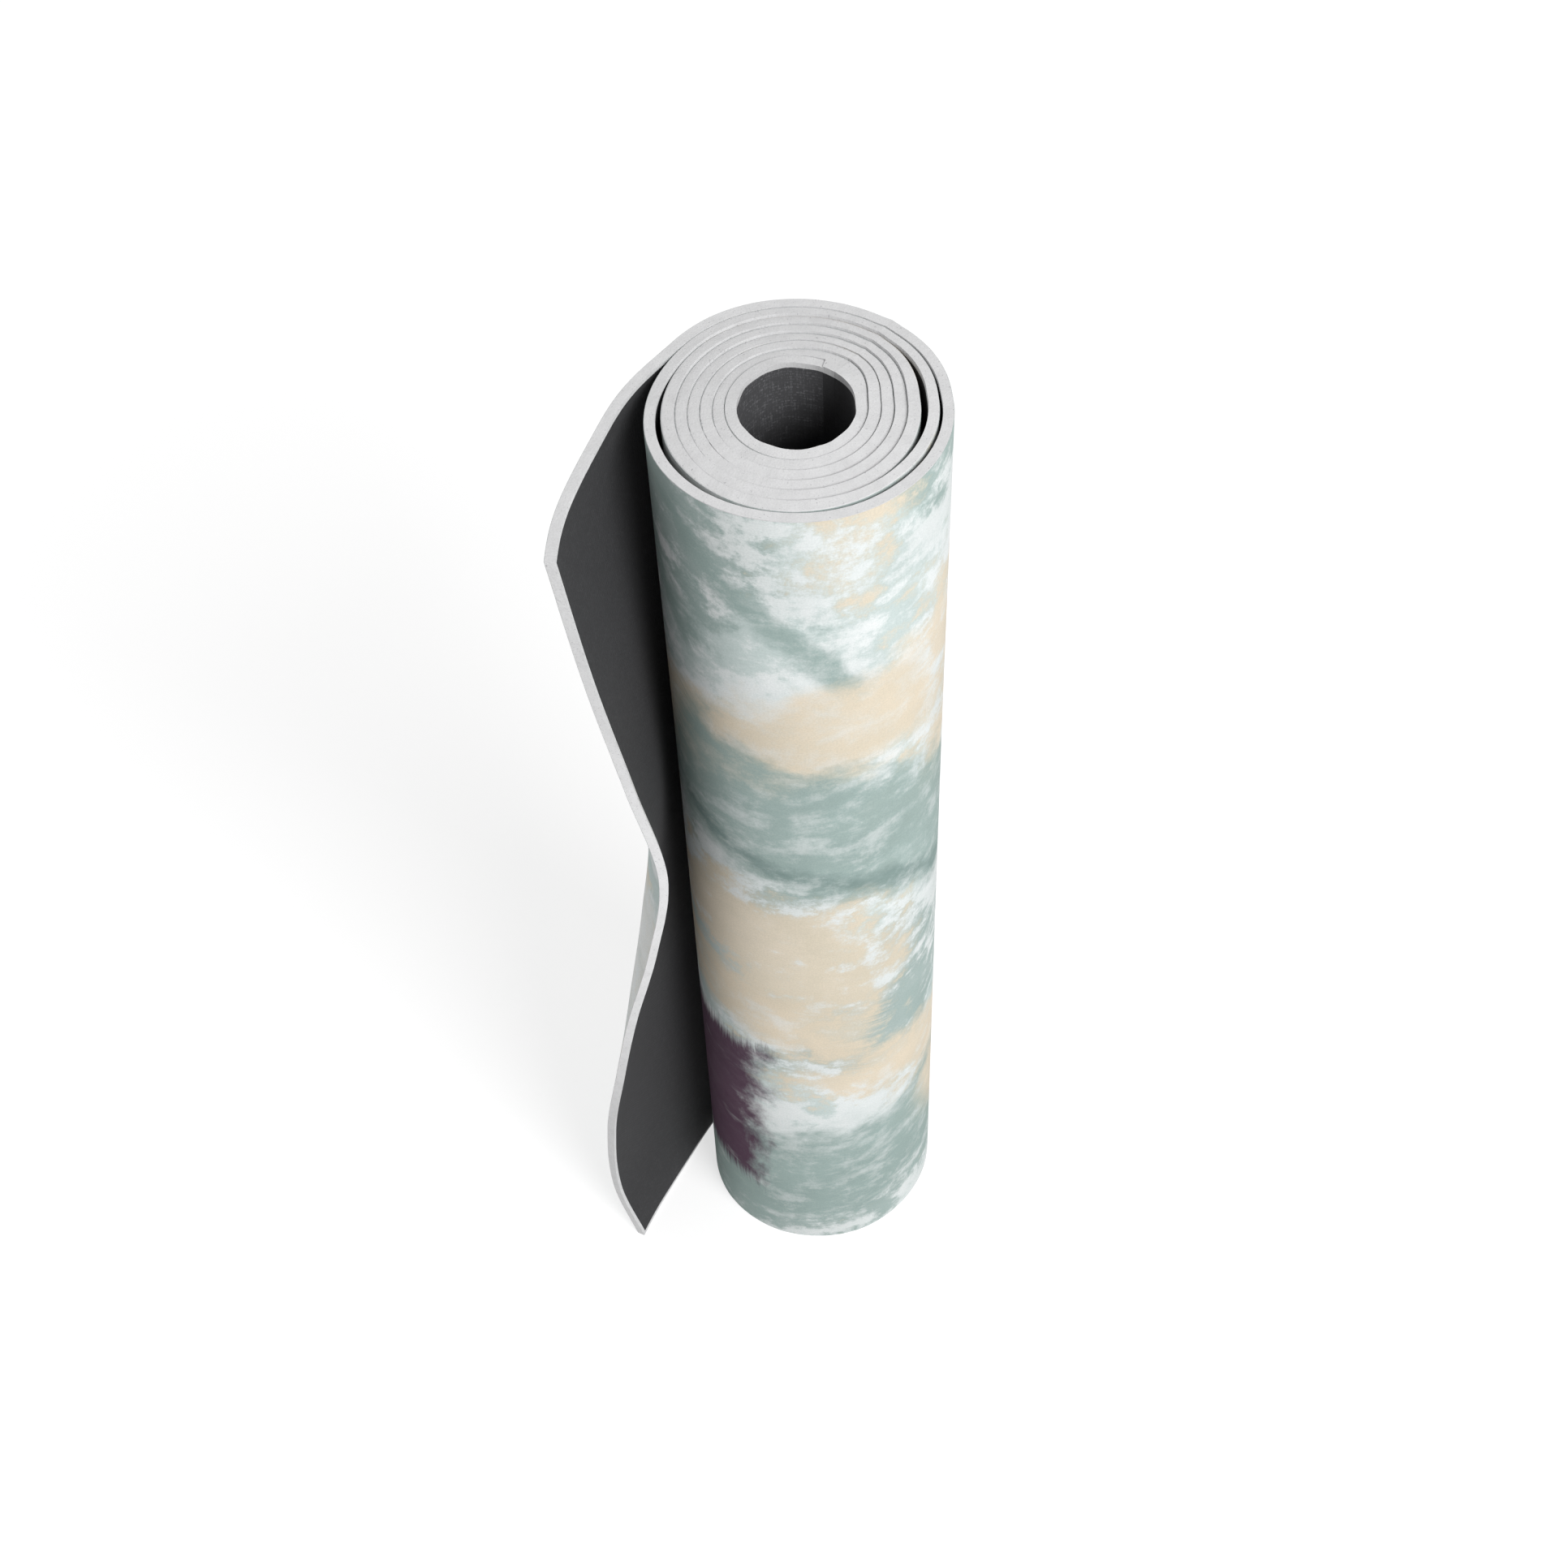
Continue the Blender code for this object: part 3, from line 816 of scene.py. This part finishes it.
def layer_tree():
    """Geometry Nodes tree that turns the printed face's surface into one closed layer of the sheet."""
    lengths = ("Edge wobble", "Wobble length")
    inputs = {"Surface": "Geometry", **dict.fromkeys((*lengths, "Seed"), "Float"), "Material": "Material"}
    tree, graph = new_group("sheet_layer", "GeometryNodeTree", inputs, {"Layer": "Geometry"})
    for name in lengths:
        tree.interface.items_tree[name].subtype = "DISTANCE"
    given = graph.add("NodeGroupInput").outputs

    def named(name, kind):
        inputs = {"Name": name}
        return graph.add("GeometryNodeInputNamedAttribute", inputs, data_type=kind).outputs["Attribute"]

    inward, sheet = named("inward", "FLOAT_VECTOR"), named("sheet", "FLOAT_VECTOR")
    rim, top, bottom = named("rim", "FLOAT"), named("top", "FLOAT"), named("bottom", "FLOAT")
    size = graph.math("DIVIDE", 1.0, given["Wobble length"])
    noise = graph.add(
        "ShaderNodeTexNoise",
        {"Vector": graph.scaled(sheet, size), "W": given["Seed"], "Scale": 1.0, "Detail": 3.0},
        noise_dimensions="4D",
    )
    strays = graph.vector("SUBTRACT", noise.outputs["Color"], (0.5, 0.5, 0.5))
    across, upward, _ = graph.add("ShaderNodeSeparateXYZ", {0: strays}).outputs
    reach = graph.times(graph.times(given["Edge wobble"], WOBBLE_STRENGTH), rim)
    sideways = graph.scaled(inward, graph.times(across, reach))
    lift = graph.add("ShaderNodeCombineXYZ", {"Z": graph.times(upward, reach)}).outputs[0]
    rise = graph.math("SUBTRACT", top, bottom)
    offset = graph.vector("ADD", graph.scaled(inward, bottom), graph.vector("ADD", sideways, lift))
    inputs = {"Geometry": given["Surface"], "Offset": offset}
    back = graph.add("GeometryNodeSetPosition", inputs).outputs[0]

    def with_depth(geometry, selection, depth):
        """Writes the depth below the printed face into the place on the sheet."""
        deep = graph.vector("ADD", sheet, graph.add("ShaderNodeCombineXYZ", {"Z": depth}).outputs[0])
        inputs = {"Geometry": geometry, "Name": "sheet", "Value": deep}
        if selection:
            inputs["Selection"] = selection
        kind = {"data_type": "FLOAT_VECTOR", "domain": "POINT"}
        return graph.add("GeometryNodeStoreNamedAttribute", inputs, **kind).outputs[0]

    back = with_depth(back, None, bottom)
    raised = graph.add("GeometryNodeExtrudeMesh", {"Mesh": back, "Offset Scale": 0.0, "Individual": False})
    front = raised.outputs["Top"]
    inputs = {"Geometry": raised.outputs["Mesh"], "Selection": front, "Offset": graph.scaled(inward, rise)}
    moved = graph.add("GeometryNodeSetPosition", inputs).outputs[0]
    moved = with_depth(moved, front, rise)
    flipped = graph.add("GeometryNodeFlipFaces", {"Mesh": back}).outputs[0]
    joined = graph.add("GeometryNodeJoinGeometry")
    tree.links.new(moved, joined.inputs[0])
    tree.links.new(flipped, joined.inputs[0])
    inputs = {"Geometry": joined.outputs[0], "Distance": WELD_DISTANCE}
    closed = graph.add("GeometryNodeMergeByDistance", inputs)
    inputs = {"Geometry": closed.outputs[0], "Material": given["Material"]}
    painted = graph.add("GeometryNodeSetMaterial", inputs)
    graph.add("NodeGroupOutput", {"Layer": painted.outputs[0]})
    return tree


# Pieces


def new_object(name, data):
    made = bpy.data.objects.new(name, data)
    bpy.context.scene.collection.objects.link(made)
    return made


def layer_depths(layer, grids):
    """Depth of one layer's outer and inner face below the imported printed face."""
    sizes = bpy.context.scene.yoga_mat_sheet
    printed = grids["front"] - sizes.proud
    woven = sizes.thickness - sizes.proud + grids["swell"] - grids["back"]
    if layer == "print_skin":
        return printed, printed + sizes.skin
    if layer == "backing":
        return woven - sizes.backing, woven
    return printed + sizes.skin, woven - sizes.backing + grids["flare"]


def layer_grids(layer, grids, free_edge):
    """The grids that one layer covers: the skin and the backing end below the cut edges."""
    columns, rows = grids["rim"].shape
    left_out = SKIN_ROWS[layer]
    columns -= left_out * free_edge
    grids = {name: grid[:columns, left_out : rows - left_out] for name, grid in grids.items()}
    top, bottom = layer_depths(layer, grids)
    return {**grids, "top": top, "bottom": bottom}


def surface_mesh(name, grids):
    """Open surface of the printed face, facing away from the roll's middle."""
    columns, rows = grids["rim"].shape
    corner = np.arange(columns * rows).reshape(columns, rows)
    faces = np.stack((corner[:-1, :-1], corner[1:, :-1], corner[1:, 1:], corner[:-1, 1:]), axis=-1)
    mesh = bpy.data.meshes.new(name)
    mesh.from_pydata(grids["place"].reshape(-1, 3).tolist(), [], faces.reshape(-1, 4).tolist())
    for key in ("inward", "facing", "sheet", "rim", "top", "bottom"):
        kind, field = ("FLOAT_VECTOR", "vector") if grids[key].ndim == 3 else ("FLOAT", "value")
        mesh.attributes.new(key, kind, "POINT").data.foreach_set(field, grids[key].ravel())
    return mesh


def read_vectors(items, key):
    values = np.zeros(3 * len(items), np.float32)
    items.foreach_get(key, values)
    return values.reshape(-1, 3)


def read_counts(items, key):
    values = np.zeros(len(items), np.int32)
    items.foreach_get(key, values)
    return values


def shade_from_sheet(mesh):
    """Shades both broad faces as the whole sheet curves, so that nothing shows where pieces meet."""
    face_sizes = read_counts(mesh.polygons, "loop_total")
    flat = np.repeat(read_vectors(mesh.polygons, "normal"), face_sizes, axis=0)
    facing = read_vectors(mesh.attributes["facing"].data, "vector")
    round_way = facing[read_counts(mesh.loops, "vertex_index")]
    agree = np.sum(flat * round_way, axis=1, keepdims=True)
    mesh.shade_smooth()
    mesh.normals_split_custom_set(np.where(np.abs(agree) > BROAD_FACE, np.sign(agree) * round_way, flat))


def make_layer(name, grids, layer):
    """One layer of a stretch of the sheet, as a plain mesh."""
    piece = new_object(name, surface_mesh(name, grids))
    modifier = piece.modifiers.new("sheet_layer", "NODES")
    modifier.node_group = bpy.data.node_groups.get("sheet_layer") or layer_tree()
    values = {
        "Edge wobble": bpy.context.scene.yoga_mat_sheet.edge_wobble,
        "Wobble length": WOBBLE_LENGTH,
        "Seed": WOBBLE_SEED,
        "Material": material_of(layer),
    }
    for item in modifier.node_group.interface.items_tree:
        if item.in_out == "INPUT" and item.name in values:
            modifier[item.identifier] = values[item.name]
    shaped = piece.evaluated_get(bpy.context.evaluated_depsgraph_get())
    mesh = bpy.data.meshes.new_from_object(shaped)
    piece.modifiers.clear()
    rough, piece.data = piece.data, mesh
    bpy.data.meshes.remove(rough)
    mesh.name = name
    shade_from_sheet(mesh)
    for key in ("inward", "facing", "rim", "top", "bottom"):
        mesh.attributes.remove(mesh.attributes[key])
    return piece


def make_stretch(prefix, grids, attach, free_edge=False):
    """The three layers of a stretch of the sheet, attached to what carries them."""
    pieces = {}
    for layer in FINISHES:
        pieces[layer] = make_layer(f"{prefix}_{layer}", layer_grids(layer, grids, free_edge), layer)
    for layer, piece in pieces.items():
        attach(piece)
    return pieces


def bender(joint):
    """Returns a step for each piece of a stretch at a hinge line, which bakes the piece's placement into its
    mesh; the hinge's place and way along the sheet are worked out but not used.
    """
    hinge = np.array(joint["pos_m"][:2])
    at = np.linalg.norm(POINTS - hinge, axis=1).argmin()
    way = left_of(INWARD[at])
    way = -way / np.linalg.norm(way)

    def bend(piece):
        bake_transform(piece)

    return bend


def lean_inner_end(grids, first):
    """Cuts the sheet's inner end at a slant, so that it lies against the next turn."""
    lean = INNER_END_LEAN * (POINTS[first - 1] - POINTS[first])
    grids["inward"][0, :, :2] += lean / PACKED_THICKNESS


def finished(operator, pieces):
    operator.report({"INFO"}, f"Made {pieces} pieces")
    return {"FINISHED"}


class YOGAMAT_OT_inner_turns(Operator):
    """Make the tightly wound inner turns, which move as one body"""

    bl_idname = "yoga_mat.inner_turns"
    bl_label = "Inner Turns"

    def execute(self, context):
        first = round(INNER_END_CUT / STEP_ANGLE)
        grids = wound_part(first, TURN_START - STEPS_PER_STRIP // 2, ROLL_ROWS)
        lean_inner_end(grids, first)
        pieces = make_stretch("inner_turns", grids, lambda piece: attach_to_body(piece, "roll"))
        for layer, piece in pieces.items():
            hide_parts(f"roll_{layer}")
        return finished(self, len(pieces))


class YOGAMAT_OT_outer_turn(Operator):
    """Make the loose outer turn, in one stretch about each of its hinge lines"""

    bl_idname = "yoga_mat.outer_turn"
    bl_label = "Outer Turn"

    def execute(self, context):
        for number, joint in enumerate(UNROLL_JOINTS):
            first = TURN_START + number * STEPS_PER_STRIP - STEPS_PER_STRIP // 2
            grids = wound_part(first, first + STEPS_PER_STRIP, STRIP_ROWS)
            pieces = make_stretch(f"outer_turn_bend_{number + 1}", grids, bender(joint))
            for layer, piece in pieces.items():
                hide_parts(f"{joint['child']}_{layer}")
        return finished(self, 3 * len(UNROLL_JOINTS))


class YOGAMAT_OT_free_end(Operator):
    """Make the wavy free end, with its base as pieces of their own"""

    bl_idname = "yoga_mat.free_end"
    bl_label = "Free End"

    def execute(self, context):
        grids = free_end()
        base_end = STEPS_PER_STRIP // 2 + FLAP_BASE_COLUMNS
        base = part_of(grids, 0, base_end)
        make_stretch("free_end_base", base, bender(FLAP_JOINT))
        flap = part_of(grids, base_end, len(grids["rim"]) - 1)
        pieces = make_stretch("free_end", flap, lambda piece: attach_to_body(piece, FLAP_JOINT["child"]), True)
        for layer, piece in pieces.items():
            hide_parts(f"flap_{layer}")
        return finished(self, 2 * len(pieces))


# Stage

# The floor's grey where it lights the mat and where it is seen, the glow of the seen one near the mat and
# far away, and the distances between which it changes
FLOOR_LIT = 0.86
FLOOR_SEEN = 0.42
FLOOR_GLOW = (0.65, 1.0)
FLOOR_GLOW_REACH = (1.0, 3.0)

# Soft lights: place, target, size
MAIN_LIGHT = ((1.3, -1.75, 2.3), (0, 0, 0.4), 1.6)
BACK_LIGHT = ((-1.5, 2.3, 1.7), (0, 0, 0.3), 2.0)

# Camera: place, and degrees that it looks up from straight down and rolls
CAMERA_PLACE = (0.017, -0.6638, 1.3118)
CAMERA_TILT = 90 - 54.82
CAMERA_ROLL = -2.68


def seen_directly(graph):
    """1 for what the camera sees, itself or in gloss or glass, and 0 for what only lights the mat."""
    rays = graph.add("ShaderNodeLightPath").outputs
    seen = graph.math("MAXIMUM", rays["Is Camera Ray"], rays["Is Glossy Ray"])
    return graph.math("MAXIMUM", seen, rays["Is Transmission Ray"])


def grey(level):
    return level, level, level, 1


def pale_floor(size):
    """White floor that keeps the mat's soft shadow."""
    mesh = bpy.data.meshes.new("floor")
    half = size / 2
    corners = [(-half, -half, 0), (half, -half, 0), (half, half, 0), (-half, half, 0)]
    mesh.from_pydata(corners, [], [(0, 1, 2, 3)])
    floor = new_object("floor", mesh)
    material, shader, graph = new_material("pale_floor", 0.95, 0.1, (0.9, 0.9, 0.9))
    shader.inputs["Base Color"].default_value = grey(FLOOR_LIT)
    place = graph.add("ShaderNodeTexCoord").outputs["Object"]
    away = graph.add("ShaderNodeVectorMath", {0: place}, operation="LENGTH").outputs["Value"]
    inputs = {
        "Base Color": grey(FLOOR_SEEN),
        "Roughness": 1.0,
        "Specular IOR Level": 0.0,
        "Emission Color": grey(1),
        "Emission Strength": graph.ramp(away, *FLOOR_GLOW_REACH, *FLOOR_GLOW),
    }
    white = graph.add("ShaderNodeBsdfPrincipled", inputs)
    inputs = {0: seen_directly(graph), 1: shader.outputs[0], 2: white.outputs[0]}
    shown = graph.add("ShaderNodeMixShader", inputs)
    output = graph.tree.nodes["Material Output"]
    graph.tree.links.new(shown.outputs[0], output.inputs["Surface"])
    mesh.materials.append(material)


def white_world(strength):
    """White behind the mat, and an even fill light from all round."""
    world = bpy.data.worlds.new("studio")
    world.use_nodes = True
    graph = Graph(world.node_tree)
    level = graph.math("ADD", graph.times(seen_directly(graph), 1 - strength), strength)
    background = world.node_tree.nodes["Background"]
    background.inputs["Color"].default_value = grey(1)
    world.node_tree.links.new(level, background.inputs["Strength"])
    bpy.context.scene.world = world


def soft_light(name, place, target, size, power):
    light = bpy.data.lights.new(name, "AREA")
    light.shape = "DISK"
    light.size = size
    light.energy = power
    lamp = new_object(name, light)
    lamp.location = place
    lamp.rotation_euler = (Vector(target) - Vector(place)).to_track_quat("-Z", "Y").to_euler()


def camera(lens):
    """Camera that looks down at the roll from the front."""
    data = bpy.data.cameras.new("camera")
    data.lens = lens
    made = new_object("camera", data)
    tilt, roll = math.radians(CAMERA_TILT), math.radians(CAMERA_ROLL)
    turn = Matrix.Rotation(tilt, 4, "X") @ Matrix.Rotation(roll, 4, "Z")
    made.matrix_world = Matrix.Translation(CAMERA_PLACE) @ turn
    bpy.context.scene.camera = made


class YOGAMAT_OT_stage(Operator):
    """Make the pale floor, the soft studio light and the camera"""

    bl_idname = "yoga_mat.stage"
    bl_label = "Stage"

    def execute(self, context):
        stage = context.scene.yoga_mat_stage
        pale_floor(stage.floor_size)
        white_world(stage.fill_strength)
        soft_light("main_light", *MAIN_LIGHT, stage.key_power)
        soft_light("back_light", *BACK_LIGHT, stage.back_power)
        camera(stage.lens)
        context.scene.view_settings.view_transform = "Standard"
        return {"FINISHED"}


class YOGAMAT_PT_mat(Panel):
    """Sizes, colours and pieces of the rolled yoga mat"""

    bl_idname = "YOGAMAT_PT_mat"
    bl_label = "Rolled Yoga Mat"
    bl_space_type = "VIEW_3D"
    bl_region_type = "UI"
    bl_category = "Yoga Mat"

    def draw(self, context):
        for group in SETTINGS:
            settings = getattr(context.scene, group)
            box = self.layout.box()
            for name in settings.bl_rna.properties.keys():
                if name not in ("rna_type", "name"):
                    box.prop(settings, name)
        for operator in OPERATORS:
            self.layout.operator(operator.bl_idname)


SETTINGS = {
    "yoga_mat_sheet": YogaMatSheet,
    "yoga_mat_colours": YogaMatColours,
    "yoga_mat_stage": YogaMatStage,
}
OPERATORS = (YOGAMAT_OT_inner_turns, YOGAMAT_OT_outer_turn, YOGAMAT_OT_free_end, YOGAMAT_OT_stage)
CLASSES = (*SETTINGS.values(), *OPERATORS, YOGAMAT_PT_mat)


def register():
    for item in CLASSES:
        bpy.utils.register_class(item)
    for name, settings in SETTINGS.items():
        setattr(bpy.types.Scene, name, PointerProperty(type=settings))


def unregister():
    for name in SETTINGS:
        delattr(bpy.types.Scene, name)
    for item in reversed(CLASSES):
        bpy.utils.unregister_class(item)


def main():
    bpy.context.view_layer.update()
    register()
    bpy.ops.yoga_mat.inner_turns()
    bpy.ops.yoga_mat.outer_turn()
    bpy.ops.yoga_mat.free_end()
    bpy.ops.yoga_mat.stage()


if __name__ == "__main__":
    main()
